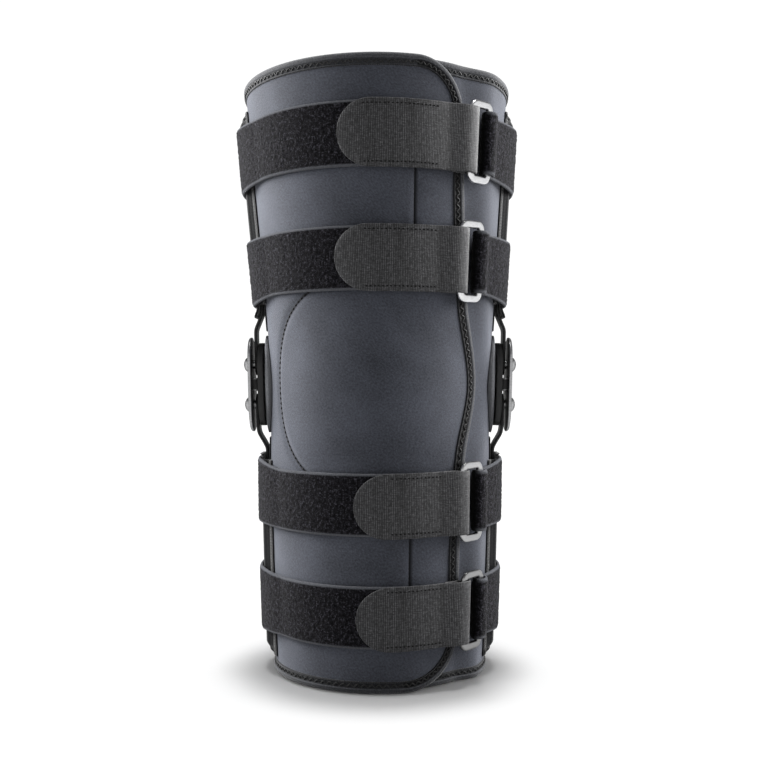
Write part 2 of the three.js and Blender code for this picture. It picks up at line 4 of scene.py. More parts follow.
import bmesh
import bpy
import numpy as np
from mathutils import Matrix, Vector


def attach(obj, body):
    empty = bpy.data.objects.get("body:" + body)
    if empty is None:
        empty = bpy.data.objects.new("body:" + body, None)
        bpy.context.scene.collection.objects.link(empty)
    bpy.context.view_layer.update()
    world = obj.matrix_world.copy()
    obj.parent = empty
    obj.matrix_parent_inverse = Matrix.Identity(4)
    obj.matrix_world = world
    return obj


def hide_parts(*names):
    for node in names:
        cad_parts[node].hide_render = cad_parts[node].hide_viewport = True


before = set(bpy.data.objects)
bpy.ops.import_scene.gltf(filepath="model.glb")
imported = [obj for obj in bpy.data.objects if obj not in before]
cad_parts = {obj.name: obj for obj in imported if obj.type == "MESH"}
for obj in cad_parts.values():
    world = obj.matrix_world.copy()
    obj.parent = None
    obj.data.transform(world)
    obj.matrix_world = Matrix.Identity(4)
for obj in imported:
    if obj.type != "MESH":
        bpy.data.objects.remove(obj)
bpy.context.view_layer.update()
random = np.random.default_rng(7)
MM = 0.001
UNSEWN = 8.0
SHARP_ANGLE = np.radians(60)
SOFT_PIECES = []

# The leg form and the flap, in the same tables as the solids
HEIGHT = 400
KNEE = 197
GAP = 0.3
LEG = np.array([
    # height, half width, half depth, shift in x
    (0, 72.3, 68.8, 2.2),
    (50, 74.2, 71.2, 2.2),
    (100, 75.6, 73.6, 2.2),
    (150, 76.2, 75.4, 2.2),
    (KNEE, 76.3, 76.6, 2.2),
    (244, 79.2, 80.4, 2.1),
    (320, 85.2, 87.6, 0.7),
    (HEIGHT, 91, 95.4, -0.4),
])
FLAP = np.array([
    # height, reach past the front centre line
    (0, 52),
    (50, 55),
    (100, 57),
    (150, 62),
    (KNEE, 74),
    (250, 63.5),
    (320, 61),
    (HEIGHT, 60.5),
])
WALL, TAPE, TAPE_COVER, TAPE_ROOM = 3, 0.8, 7, 0.7
HEM = TAPE + GAP
LAYER_STEP = WALL + 2 * (TAPE + TAPE_ROOM) + 2 * GAP
UNDER_RISE = (3, 22)
TOP_CORNER = Sizes(across=33, up=33)
BOTTOM_CORNER = Sizes(across=36, up=34)
DOME = Sizes(azimuth=-8, radius=68, height=4.5)

# Bars, pockets and hinges
SIDES = (("left", -90, -1), ("right", 90, 1))
RUNS = (
    Sizes(
        name="upper", way=1, bend=38, landing=247, end=372,
        mouth=243, throat=250, flare=2.6, tongue=9, tip=383, strip=234,
    ),
    Sizes(
        name="lower", way=-1, bend=33, landing=153, end=22,
        mouth=149, throat=147, flare=1.6, tongue=4, tip=11, strip=160,
    ),
)
BACKING = Sizes(half=12, inner=0.25, outer=1.05)
BAR = Sizes(half=7.5, level=2.4, thickness=2, blunt=1, inset=0.9, roundness=0.75)
POCKET = Sizes(half=21, foot=16, crown=11.5, lift=3.9, thickness=1.5, past=2, edge=2, thin=0.55)
TONGUE_SIDE = (8, 13)
HINGE_TILT = np.radians(1.5)
PAD = Sizes(
    inner=0.5, outer=3.7, half_width=20.5, half_height=34, edge_drop=1.2,
    middle=0.03, rounding=0.75, steep=8,
)
INNER_PLATE = Sizes(inner=4, outer=8, height=58, chamfer=0.8)
OUTER_PLATE = Sizes(inner=12.5, outer=14.6, height=66, chamfer=1.1)
ARM_LEVEL, PLATE_HALF, PIVOT_RISE = 9.6, 17, 14
PLATE_SLOPE = np.array([0, 0.06, 0.14, 0.5, 0.86, 1])
SEAT_GAP = 0.05
RIVET = Sizes(shaft=3, head=5.5, dome=4, neck=0.3, arris=0.2)
SPACER = Sizes(width=26, height=9)

# Straps
STRAP_KEYS = ("name", "height", "ring", "end", "drop", "lift", "stitched")
STRAPS = tuple(Sizes(**dict(zip(STRAP_KEYS, row))) for row in (
    ("thigh_upper", 351, 45.1, -15.7, 0, -1, (-5.5, 24)),
    ("thigh_lower", 275.5, 42.5, -18.9, 0, -3, (-6, 24.5)),
    ("calf_upper", 121, 47, -12.2, 1.2, 3.5, (5, 35)),
    ("calf_lower", 49.5, 49, -11.4, 1.2, 0.5, (3, 35)),
))
STRAP_HALF = 20
BAND = Sizes(thickness=2.2, rest=0.8, fold_back=7, widening=2.2, rim=(1.2, 1.9), pile=0.5)
TUFT = Sizes(own=0.6, mean=0.45, spread=0.5, least=-0.3)
# Spans along the band over which the painted shade in the fold round the ring comes in and goes out
FOLD_IN, FOLD_OUT = (10.5, 14), (17, 24)
SIDE_TURN = (55, 88)
TAB = Sizes(half=20.7, thickness=1.2, lay=0.5, start=13, settle=18, tip=0.4)
RING = Sizes(width=21.5, height=52, bar=4.9, thickness=3.2, corner=6, clearance=0.8)
BAR_LEVEL = BAND.rest + BAND.thickness + RING.clearance + RING.thickness / 2

# Sewing
KNEECAP = Sizes(
    across=72.4, above=67.7, below=69.5, crease=1.1, width=2.8,
    past=12, turn=325, reach=60, sewn=(95, 265),
)
SEAM = Sizes(
    azimuth=13.8, lean=0.0057, depth=0.9, spread=2.4, lip=0.6, roll=3, edge=0.2, fade=4, furthest=0.6,
    runs=((49.5, 121), (275.5, 351)),
)
# Steepness of the painted shade beside the flap's seam: sharp on its left, wide and soft on its right
SEAM_SHADE = Sizes(left=2.5, right=0.5)


# Leg form


def read(table, column, z):
    """One column of a table sorted by height, on a smooth curve through its rows."""
    heights, values = table[:, 0], table[:, column]
    row = np.arange(len(heights))
    before, after = np.maximum(row - 1, 0), np.minimum(row + 1, len(row) - 1)
    slopes = (values[after] - values[before]) / (heights[after] - heights[before])
    i = np.clip(np.searchsorted(heights, z) - 1, 0, len(row) - 2)
    span = heights[i + 1] - heights[i]
    t = (z - heights[i]) / span
    bend = t * (1 - t) * span * ((1 - t) * slopes[i] - t * slopes[i + 1])
    return values[i] + (values[i + 1] - values[i]) * t * t * (3 - 2 * t) + bend


def half_width(z):
    return read(LEG, 1, z)


def half_depth(z):
    return read(LEG, 2, z)


def shift_x(z):
    return read(LEG, 3, z)


def leg_radius(z):
    return (half_width(z) + half_depth(z)) / 2


def to_degrees(arc, z):
    return np.degrees(arc / leg_radius(z))


def to_arc(degrees, z):
    return np.radians(degrees) * leg_radius(z)


def ease(value, start, end):
    """A smooth step from 0 at start to 1 at end."""
    t = np.clip((value - start) / (end - start), 0, 1)
    return t * t * (3 - 2 * t)


def stacked(*parts):
    """Rows of points from their coordinates, spread over a common shape."""
    return np.stack(np.broadcast_arrays(*parts), axis=-1)


def kneecap_arc(azimuth):
    """Arc from the kneecap panel's centre line."""
    turned = (np.asarray(azimuth) - DOME.azimuth + 180) % 360 - 180
    return to_arc(turned, KNEE)


def facing(azimuth, z):
    angle = np.radians(azimuth)
    return np.arctan2(np.sin(angle) / half_width(z), np.cos(angle) / half_depth(z))


def leg_point(azimuth, z, level):
    """A point off the leg form's face. Azimuth 0 is the front and 90 the side towards +X."""
    away = np.hypot(kneecap_arc(azimuth), z - KNEE) / DOME.radius
    out = level + DOME.height * np.clip(1 - away**2, 0, None) ** 2
    angle, turn = np.radians(azimuth), facing(azimuth, z)
    x = shift_x(z) + half_width(z) * np.sin(angle) + out * np.sin(turn)
    y = -half_depth(z) * np.cos(angle) - out * np.cos(turn)
    return stacked(x, y, z)


def corner_share(z):
    """How far round a rounded corner a height lies: 0 on the straight edge, 1 at the rim."""
    high = (z - (HEIGHT - HEM - TOP_CORNER.up)) / TOP_CORNER.up
    low = (HEM + BOTTOM_CORNER.up - z) / BOTTOM_CORNER.up
    return np.clip(np.maximum(high, low), 0, 1)


def corner_size(z, key):
    return np.where(z > HEIGHT / 2, getattr(TOP_CORNER, key), getattr(BOTTOM_CORNER, key))


def flap_turn(z):
    """Turn of the neoprene's own edge on the flap, one full round on from the front."""
    cosine = np.sqrt(1 - corner_share(z) ** 2)
    reach = read(FLAP, 1, z) - HEM - corner_size(z, "across") * (1 - cosine)
    return 360 + to_degrees(reach, z)


def wrap_point(turn, z, level):
    """A point of the wrap, whose turn runs from the hidden inner end once round to the flap."""
    edge = to_degrees(read(FLAP, 1, z), z)
    sunk = LAYER_STEP * (1 - ease(turn, edge + UNDER_RISE[0], edge + UNDER_RISE[1]))
    return leg_point(turn, z, level - sunk)


def hinge_point(sign, out, across, up):
    """A point of a hinge: out from the wrap's side, across towards the back, up the tilted plates."""
    x = half_width(KNEE) + out * np.cos(HINGE_TILT) + up * np.sin(HINGE_TILT)
    z = KNEE - out * np.sin(HINGE_TILT) + up * np.cos(HINGE_TILT)
    return stacked(shift_x(KNEE) + sign * x, across, z)


# Mesh making


def grid_faces(rows, columns, close_rows=False, close_columns=False):
    """Quads of a grid of points that are numbered row by row."""
    r, c = np.meshgrid(
        np.arange(rows if close_rows else rows - 1),
        np.arange(columns if close_columns else columns - 1),
        indexing="ij",
    )
    r, c = r.ravel(), c.ravel()
    r2, c2 = (r + 1) % rows, (c + 1) % columns
    return stacked(r * columns + c, r * columns + c2, r2 * columns + c2, r2 * columns + c)


def sweep(rings, closed=False):
    """Points and faces of a loop of points swept along stations, with flat ends unless it closes."""
    stations, loop = rings.shape[:2]
    faces = grid_faces(stations, loop, close_rows=closed, close_columns=True).tolist()
    if not closed:
        faces.append(list(range(loop)))
        faces.append(list(range((stations - 1) * loop, stations * loop)))
    return rings.reshape(-1, 3), faces


def shell(front, back):
    """Points and faces of the solid between two facing grids, joined round their rim."""
    rows, columns = front.shape[:2]
    count = rows * columns
    number = np.arange(count).reshape(rows, columns)
    rim = np.concatenate([number[0], number[1:, -1], number[-1, -2::-1], number[-2:0:-1, 0]])
    after = np.roll(rim, -1)
    sides = stacked(rim, after, after + count, rim + count)
    quads = grid_faces(rows, columns)
    faces = np.concatenate([quads, quads + count, sides])
    return np.concatenate([front.reshape(-1, 3), back.reshape(-1, 3)]), faces.tolist()


def cloth_places(along, across, third, faces=1):
    """Places on the flat cloth for the points of a piece, once for each of its faces."""
    return np.concatenate([stacked(along, across, third)] * faces).reshape(-1, 3)


def link_object(name, data):
    """An object in the scene for a mesh, a light or a camera."""
    made = bpy.data.objects.new(name, data)
    bpy.context.scene.collection.objects.link(made)
    return made


def add_piece(name, form, materials, slot, stands_for=(), cloth=None, marked=None):
    """Makes a piece that rides on the brace. Cloth gives each point its place on the flat cloth."""
    points, faces = form
    mesh = bpy.data.meshes.new(name)
    mesh.from_pydata((points * MM).tolist(), [], faces)
    work = bmesh.new()
    work.from_mesh(mesh)
    bmesh.ops.recalc_face_normals(work, faces=work.faces)
    work.to_mesh(mesh)
    work.free()
    mesh.shade_smooth()
    mesh.set_sharp_from_angle(angle=SHARP_ANGLE)
    if cloth is not None:
        layer = mesh.attributes.new("cloth", "FLOAT_VECTOR", "POINT")
        layer.data.foreach_set("vector", np.ascontiguousarray(cloth, dtype=np.float32).ravel())
    for material in materials:
        mesh.materials.append(material)
    if marked is not None:
        mesh.polygons.foreach_set("material_index", np.asarray(marked, dtype=np.int32))
    piece = link_object(name, mesh)
    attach(piece, "root")
    if stands_for:
        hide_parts(*stands_for)
    if not slot.endswith("metal"):
        SOFT_PIECES.append(piece)
    return piece


def unit(vectors):
    return vectors / np.linalg.norm(vectors, axis=-1, keepdims=True)


def circle(sides):
    return np.linspace(0, 2 * np.pi, sides, endpoint=False)


def lengths(line):
    return np.concatenate([[0], np.cumsum(np.linalg.norm(np.diff(line, axis=0), axis=1))])


def even(line, step):
    """The same line with evenly spaced points."""
    gone = lengths(line)
    places = np.linspace(0, gone[-1], max(2, round(gone[-1] / step)) + 1)
    return stacked(*(np.interp(places, gone, part) for part in line.T))


def soften(line, step, reach=3, rounds=2):
    """A line with its corners rounded over about the given reach, then evenly spaced."""
    line = even(np.asarray(line, float), reach)
    for _ in range(rounds):
        near, far = 0.75 * line[:-1] + 0.25 * line[1:], 0.25 * line[:-1] + 0.75 * line[1:]
        middle = np.stack([near, far], axis=1).reshape(-1, line.shape[1])
        line = np.concatenate([line[:1], middle, line[-1:]])
    return even(line, step)


def flat_section(half_thickness, steps, back_steps, round_steps=4):
    """A flat section with round edges as share of the flat half width, edge offset and level out."""
    turn = np.linspace(np.pi / 2, -np.pi / 2, round_steps + 2)[1:-1]
    edge, out = half_thickness * np.cos(turn), half_thickness * np.sin(turn)
    front, back = np.linspace(-1, 1, steps), np.linspace(1, -1, back_steps)
    share = np.concatenate([front, np.ones(round_steps), back, -np.ones(round_steps)])
    shift = np.concatenate([0 * front, edge, 0 * back, -edge])
    level = np.concatenate([0 * front + half_thickness, out, 0 * back - half_thickness, out[::-1]])
    return share, shift, level


def beside(line, off):
    """The two coordinates of points that lie off a flat line by the given distances."""
    along = unit(np.gradient(line, axis=0))
    return line[:, :1] - along[:, 1:] * off, line[:, 1:] + along[:, :1] * off


def threads(starts, ends, radius, lift, sides=6, steps=5, tip=0.35):
    """Points and faces of many short arched stitches, thinner at their tips."""
    t = np.linspace(0, 1, steps)
    arch = np.sin(np.pi * t)
    run, outs = ends - starts, outward(starts)
    side = unit(np.cross(run, outs))
    middle = starts[:, None] + run[:, None] * t[:, None] + outs[:, None] * (lift * arch)[:, None]
    turn = circle(sides)[:, None]
    ring = side[:, None] * np.cos(turn) + outs[:, None] * np.sin(turn)
    size = radius * (tip + (1 - tip) * arch**0.5)
    points = middle[:, :, None] + ring[:, None] * size[:, None, None]
    _, one = sweep(points[0])
    count = steps * sides
    faces = [[number + count * k for number in face] for k in range(len(starts)) for face in one]
    return points.reshape(-1, 3), faces


def tube(points, radius, sides=6):
    """Points and faces of a round thread along a line on the brace."""
    along = unit(np.gradient(points, axis=0))
    side = unit(np.cross(along, outward(points)))
    up = np.cross(side, along)
    turn = circle(sides)[:, None]
    return sweep(points[:, None] + radius * (side[:, None] * np.cos(turn) + up[:, None] * np.sin(turn)))


def outward(place):
    """Unit vectors out of the leg form at points, level with the floor."""
    z = place[..., 2]
    return unit(place - stacked(shift_x(z), 0, z))


# Materials

# Painted shade in the kneecap's crease and beside the flap's seam
CREASE_PAINTED_SHADE = (0.003, 0.003, 0.004, 1)
# Painted shade on the binding tape: the gap's shadow at its inner edge, its stitch channel and parts of its
# roll
TAPE_PAINTED_SHADE = (0.0025, 0.0025, 0.003, 1)
# Painted shade in the band's fold round the ring
FOLD_PAINTED_SHADE = (0.001, 0.001, 0.001, 1)
GREEN_IN_BLUE = 0.22
# Radians that a wave node turns over one unit at scale 1
WAVE_RATE = 20
# Height in metres below which metal gets painted shade, darker towards the floor
PAINTED_SHADE_BELOW = 0.26


def add_node(tree, kind, inputs=None, **settings):
    """A shader node whose inputs are values or other nodes' outputs."""
    made = tree.nodes.new("ShaderNode" + kind)
    for key, value in settings.items():
        setattr(made, key, value)
    for key, value in (inputs or {}).items():
        if isinstance(value, bpy.types.NodeSocket):
            tree.links.new(value, made.inputs[key])
        else:
            made.inputs[key].default_value = value
    return made


def grey(value, blue=0.0, red=0.0):
    """A grey's colour, tinted by the given shares of blue and red."""
    return (value * (1 + red), value * (1 + GREEN_IN_BLUE * blue), value * (1 + blue), 1)


class Look:
    """One procedural material, with short forms for its nodes."""

    def __init__(self, name, **surface):
        self.material = bpy.data.materials.new(name)
        self.material.use_nodes = True
        self.tree = self.material.node_tree
        self.surface = self.tree.nodes["Principled BSDF"]
        for key, value in surface.items():
            label = key.replace("_", " ").title().replace("Ior", "IOR")
            self.surface.inputs[label].default_value = value

    def node(self, kind, inputs=None, **settings):
        return add_node(self.tree, kind, inputs, **settings)

    def cloth(self):
        """Place on the flat cloth in millimetres: along, across, and a third value of the piece's own."""
        return self.node("Attribute", attribute_name="cloth").outputs["Vector"]

    def place(self):
        return self.node("TexCoord").outputs["Object"]

    def part(self, vector, axis):
        return self.node("SeparateXYZ", {"Vector": vector}).outputs[axis]

    def third(self):
        return self.part(self.cloth(), "Z")

    def stretched(self, vector, scale):
        return self.node("Mapping", {"Vector": vector, "Scale": scale}).outputs["Vector"]

    def noise(self, vector, scale, detail=2.0, roughness=0.5):
        inputs = {"Vector": vector, "Scale": scale, "Detail": detail, "Roughness": roughness}
        return self.node("TexNoise", inputs).outputs["Fac"]

    def ribs(self, vector, period, direction="X", distortion=0.0):
        """Even ribs with the given period in the vector's own unit."""
        inputs = {"Vector": vector, "Scale": 2 * np.pi / (WAVE_RATE * period), "Distortion": distortion}
        return self.node("TexWave", inputs, bands_direction=direction).outputs["Fac"]

    def math(self, operation, a, b):
        return self.node("Math", {0: a, 1: b}, operation=operation).outputs[0]

    def blend(self, *parts):
        """The sum of values, each times its weight."""
        total, *others = (self.math("MULTIPLY", value, weight) for value, weight in parts)
        for other in others:
            total = self.math("ADD", total, other)
        return total

    def ramp(self, value, *stops, blue=0.0, red=0.0):
        """Tinted greys between stops of place and tone."""
        made = self.node("ValToRGB", {"Fac": value})
        for element, (place, tone) in zip(made.color_ramp.elements, (stops[0], stops[-1])):
            element.position, element.color = place, grey(tone, blue, red)
        for place, tone in stops[1:-1]:
            made.color_ramp.elements.new(place).color = grey(tone, blue, red)
        return made.outputs["Color"]

    def mix(self, share, a, b):
        return self.node("Mix", {0: share, 6: a, 7: b}, data_type="RGBA").outputs[2]

    def between(self, value, low, high):
        """A smooth share from 0 at low to 1 at high."""
        inputs = {"Value": value, "From Min": low, "From Max": high}
        return self.node("MapRange", inputs, interpolation_type="SMOOTHSTEP").outputs["Result"]

    def link(self, socket, output):
        self.tree.links.new(output, self.surface.inputs[socket])

    def paint(self, colour):
        self.link("Base Color", colour)

    def finish(self, rough, bump):
        """Sets roughness (value, low, high) and bumps (height, depth, strength)."""
        span = dict(zip(("Value", "To Min", "To Max"), rough))
        height, depth, strength = bump
        relief = {"Height": height, "Distance": depth * MM, "Strength": strength}
        self.link("Roughness", self.node("MapRange", span).outputs["Result"])
        self.link("Normal", self.node("Bump", relief).outputs["Normal"])
        return self.material


def jersey_look(name, dark, light, sheen, blue=0.35):
    """Fine knit jersey on neoprene or foam, with painted shade where the third cloth value is near zero:
    the kneecap's crease and the flap's seam.
    """
    look = Look(name, sheen_weight=sheen, sheen_roughness=0.45, specular_ior_level=0.1)
    look.surface.inputs["Sheen Tint"].default_value = (0.88, 0.91, 1, 1)
    cloth = look.cloth()
    knit = look.math("MULTIPLY", look.ribs(cloth, 0.8), look.ribs(cloth, 0.6, "Y"))
    grain = look.noise(cloth, 0.75, detail=4.0, roughness=0.75)
    shade = look.blend((grain, 0.7), (look.noise(cloth, 0.035, detail=3.0), 0.3))
    jersey = look.ramp(shade, (0.36, dark), (0.64, light), blue=blue)
    off_line = look.math("ABSOLUTE", look.third(), 0)
    # Painted shade near the sewn lines, where the third cloth value is small
    look.paint(look.mix(look.between(off_line, 0.2, 1.5), CREASE_PAINTED_SHADE, jersey))
    return look.finish((grain, 0.7, 0.95), (look.math("ADD", knit, grain), 0.2, 0.8))


def tape_look():
    """Charcoal knit binding tape, with painted shade where the third cloth value marks its channel, its
    inner edge and parts of its roll.
    """
    look = Look("binding_tape", sheen_weight=0.15, sheen_roughness=0.4, specular_ior_level=0.1)
    cloth = look.cloth()
    ribs = look.math("MULTIPLY", look.ribs(cloth, 1.1, distortion=0.6), look.ribs(cloth, 0.7, "Y"))
    grain = look.noise(cloth, 1.0, detail=3.0, roughness=0.7)
    knit = look.ramp(grain, (0.35, 0.02), (0.68, 0.058), blue=0.15)
    # Painted shade where the third cloth value is high
    look.paint(look.mix(look.third(), knit, TAPE_PAINTED_SHADE))
    return look.finish((grain, 0.6, 0.9), (look.math("ADD", ribs, grain), 0.22, 0.8))


def pile_look():
    """Black brushed loop pile, with painted shade in the fold round the ring, and a charcoal rim where the
    third value marks it.
    """
    look = Look("loop_pile", sheen_weight=0.05, sheen_roughness=0.45, specular_ior_level=0.02)
    cloth = look.cloth()
    tufts = look.noise(look.stretched(cloth, (1.0, 0.7, 1.0)), 0.55, detail=5.0, roughness=0.8)
    flecks = look.noise(cloth, 1.1, detail=3.0, roughness=0.7)
    fuzz = look.blend((tufts, 0.6), (flecks, 0.4))
    pile = look.ramp(fuzz, (0.42, 0.0005), (0.52, 0.005), (0.64, 0.042), blue=0.3, red=0.1)
    rim = look.ramp(flecks, (0.3, 0.036), (0.7, 0.066), blue=0.15)
    face = look.mix(look.third(), pile, rim)
    # Painted shade over the fold round the ring, by place along the band
    into, out_of = (look.between(look.part(cloth, "X"), *ends) for ends in (FOLD_IN, FOLD_OUT))
    look.paint(look.mix(look.math("SUBTRACT", into, out_of), face, FOLD_PAINTED_SHADE))
    return look.finish((tufts, 0.85, 1.0), (fuzz, 1.2, 0.9))


def webbing_look():
    """Dark grey woven tape with fine upright ribs that run in and out of step."""
    look = Look("woven_tab", sheen_weight=0.1, sheen_roughness=0.35, specular_ior_level=0.2)
    cloth = look.cloth()
    ribs = look.ribs(cloth, 1.05, distortion=0.9)
    warp = look.noise(look.stretched(cloth, (1.0, 0.2, 1.0)), 1.3, detail=4.0, roughness=0.8)
    weft = look.noise(look.stretched(cloth, (0.25, 1.0, 1.0)), 1.2, detail=3.0, roughness=0.8)
    streaks = look.noise(look.stretched(cloth, (1.0, 0.05, 1.0)), 0.16, detail=3.0)
    shade = look.blend((ribs, 0.12), (warp, 0.38), (weft, 0.38), (streaks, 0.12))
    look.paint(look.ramp(shade, (0.4, 0.004), (0.52, 0.021), (0.65, 0.09), blue=0.08, red=0.02))
    return look.finish((warp, 0.5, 0.75), (shade, 0.5, 0.8))


def knit_look(name, dark, light):
    """Black rib knit of the bar pockets and their backings."""
    look = Look(name, sheen_weight=0.3, sheen_roughness=0.3, specular_ior_level=0.1)
    cloth = look.cloth()
    ribs = look.math("MULTIPLY", look.ribs(cloth, 1.7, "Y", 0.8), look.ribs(cloth, 1.0, "X", 0.5))
    grain = look.noise(cloth, 1.0, detail=4.0, roughness=0.75)
    look.paint(look.ramp(grain, (0.3, dark), (0.75, light), blue=0.1))
    return look.finish((grain, 0.7, 0.95), (look.math("ADD", ribs, grain), 0.35, 0.8))


def thread_look(name, dark, light):
    """Twisted sewing thread."""
    look = Look(name, specular_ior_level=0.1)
    twist = look.noise(look.place(), 2500, detail=1.0)
    look.paint(look.ramp(twist, (0.35, dark), (0.65, light)))
    return look.finish((twist, 0.45, 0.7), (twist, 0.1, 0.6))


def metal_look(name, tones, polish, metallic=1.0, grain=(400, 400, 400), shine=0.5, edge=1.0, foot=1.0):
    """Satin or coated metal with fine uneven polish, darker along its edges, with painted shade towards the
    floor when foot is below 1.
    """
    look = Look(name, metallic=metallic, specular_ior_level=shine, specular_tint=(edge, edge, edge, 1))
    dark, light = tones
    wear = look.noise(look.stretched(look.place(), grain), 1.0, detail=4.0, roughness=0.65)
    colour = look.ramp(wear, (0.3, dark), (0.7, light), blue=0.02)
    # Painted shade: the colour darkens towards the floor, down to foot times the dark tone
    if foot < 1:
        height = look.part(look.place(), "Z")
        colour = look.mix(look.between(height, 0, PAINTED_SHADE_BELOW), grey(foot * dark), colour)
    look.paint(colour)
    return look.finish((wear, *polish), (wear, 0.05, 0.35))


NEOPRENE = jersey_look("neoprene_jersey", 0.018, 0.051, 0.18)
PAD_JERSEY = jersey_look("pad_jersey", 0.03, 0.1, 0.15, blue=0.1)
BINDING = tape_look()
PILE = pile_look()
WEBBING = webbing_look()
KNIT = knit_look("rib_knit", 0.005, 0.018)
BACKING_KNIT = knit_look("backing_knit", 0.008, 0.02)
OVERLOCK_THREAD = thread_look("overlock_thread", 0.015, 0.045)
GREY_THREAD = thread_look("grey_thread", 0.01, 0.024)
BLACK_THREAD = thread_look("black_thread", 0.001, 0.003)
# The rings get painted shade towards the floor, down to 0.4 of their dark tone
RING_METAL = metal_look("satin_ring", (0.6, 0.74), (0.26, 0.38), grain=(300, 300, 900), edge=0.8, foot=0.4)
COATED = metal_look("black_coat", (0.008, 0.018), (0.5, 0.75), metallic=0.0, shine=0.3)
PLATE_COAT = metal_look("plate_coat", (0.025, 0.055), (0.5, 0.7), metallic=0.0, shine=0.3)
WORN_EDGE = metal_look("worn_edge", (0.2, 0.36), (0.3, 0.5), edge=0.3)
BRIGHT_FACE = metal_look("bright_face", (0.26, 0.4), (0.3, 0.45), grain=(200, 200, 1600), edge=0.3)
RIVET_STEEL = metal_look("rivet_steel", (0.3, 0.45), (0.15, 0.3), edge=0.0)


# Wrap

WRAP_COLUMNS = ((-20, 38, 12), (38, 85, 36), (85, 275, 60), (275, 345, 60))
CORNER_ROWS = 19
FRONT_COLUMNS = Sizes(left=20, right=24)
SEAM_COLUMNS = np.array([-5, -3, -1.6, -0.8, -0.3, 0.0, 0.4, 0.9, 1.6, 2.6, 4, 6])
WRAP_BANDS = ((125, 30), (270, 90), (HEIGHT - HEM - TOP_CORNER.up, 34))


def wrap_heights():
    quarter = 1 - np.sin(np.linspace(0, np.pi / 2, CORNER_ROWS))
    bottom = (HEM + BOTTOM_CORNER.up * quarter)[::-1]
    top = HEIGHT - HEM - TOP_CORNER.up * quarter
    parts, start = [bottom], bottom[-1]
    for end, rows in WRAP_BANDS:
        parts.append(np.linspace(start, end, rows + 1)[1:])
        start = end
    return np.concatenate([*parts, top[1:]])


def wrap_turns(z):
    """Columns of the wrap at heights z: fixed turns, then the sewn seam, then up to the flap's edge."""
    z = np.asarray(z, float)[:, None]
    fixed = np.concatenate([np.linspace(a, b, n, endpoint=False) for a, b, n in WRAP_COLUMNS])
    start, edge = WRAP_COLUMNS[-1][1], flap_turn(z)
    furthest = start + SEAM.furthest * (edge - start)
    seam = np.minimum(360 + seam_azimuth(z), furthest) + to_degrees(SEAM_COLUMNS, z)
    left = start + (seam[:, :1] - start) * np.linspace(0, 1, FRONT_COLUMNS.left, endpoint=False)
    right = seam[:, -1:] + (edge - seam[:, -1:]) * np.linspace(0, 1, FRONT_COLUMNS.right)[1:]
    return np.hstack([np.repeat(fixed[None], len(z), axis=0), left, seam, right])


def kneecap_depth(turn, z):
    """Millimetres inside the kneecap panel's stitched outline."""
    arc, rise = kneecap_arc(turn), z - KNEE
    tall = np.where(rise > 0, KNEECAP.above, KNEECAP.below)
    return (1 - np.hypot(arc / KNEECAP.across, rise / tall)) * KNEECAP.across


def seam_azimuth(z):
    return SEAM.azimuth + SEAM.lean * z


def seam_arc(turn, z):
    return to_arc(turn - 360 - seam_azimuth(z), z)


def seam_share(z):
    """1 where the flap's seam shows, 0 elsewhere."""
    return sum(ease(z, low, low + SEAM.fade) * ease(z, high, high - SEAM.fade) for low, high in SEAM.runs)


def on_kneecap_left(turn):
    return (kneecap_arc(turn) < KNEECAP.past) & (np.abs(turn - KNEECAP.turn) < KNEECAP.reach)


def wrap_relief(turn, z):
    """How far sewing pulls the wrap's face in."""
    inside = kneecap_depth(turn, z)
    crease = KNEECAP.crease * np.exp(-((inside / KNEECAP.width) ** 2)) * on_kneecap_left(turn)
    off = seam_arc(turn, z)
    lip = SEAM.lip * ease(off, -SEAM.roll, 0)
    drop = np.where(off < -SEAM.edge, lip, SEAM.depth * np.exp(-np.clip(off, 0, None) / SEAM.spread))
    return crease + drop * seam_share(z)


def sewn_line(turn, z):
    """Millimetres to the line where the wrap gets painted shade: the kneecap's crease or the flap's seam.
    """
    by_knee = np.where(on_kneecap_left(turn), kneecap_depth(turn, z), UNSEWN)
    off = seam_arc(turn, z)
    steep = np.where(off < 0, SEAM_SHADE.left, SEAM_SHADE.right)
    by_seam = np.where(seam_share(z) > 0.5, -off * steep, UNSEWN)
    low, high = SEAM.runs[0][1], SEAM.runs[1][0]
    return np.clip(np.where((z > low) & (z < high), by_knee, by_seam), -UNSEWN, UNSEWN)


def make_wrap():
    heights = wrap_heights()
    turns = wrap_turns(heights)
    z = np.repeat(heights[:, None], turns.shape[1], axis=1)
    front = wrap_point(turns, z, -wrap_relief(turns, z))
    back = wrap_point(turns, z, -WALL)
    # The third cloth value places the painted shade at the kneecap's crease and the flap's seam
    cloth = cloth_places(to_arc(turns, z), z, sewn_line(turns, z), faces=2)
    piece = add_piece("wrap_cloth", shell(front, back), [NEOPRENE], "neoprene", ["wrap"], cloth)
    stitches = make_kneecap_stitches()


def make_kneecap_stitches(stitch=1.9, pitch=3.4, radius=0.52, lift=0.15, steps=600):
    """A row of stitches in the crease on the left of the kneecap panel."""
    angle = np.radians(np.linspace(*KNEECAP.sewn, steps))
    tall = np.where(np.sin(angle) > 0, KNEECAP.above, KNEECAP.below)
    line = stacked(KNEECAP.across * np.cos(angle), tall * np.sin(angle))
    gone = lengths(line)
    starts = np.arange(0, gone[-1] - pitch, pitch)

    def place(at):
        arc, rise = (np.interp(at, gone, part) for part in line.T)
        return leg_point(DOME.azimuth + to_degrees(arc, KNEE), KNEE + rise, lift - KNEECAP.crease)

    form = threads(place(starts), place(starts + stitch), radius, lift)
    return add_piece("wrap_kneecap_threads", form, [BLACK_THREAD], "neoprene")


# Binding

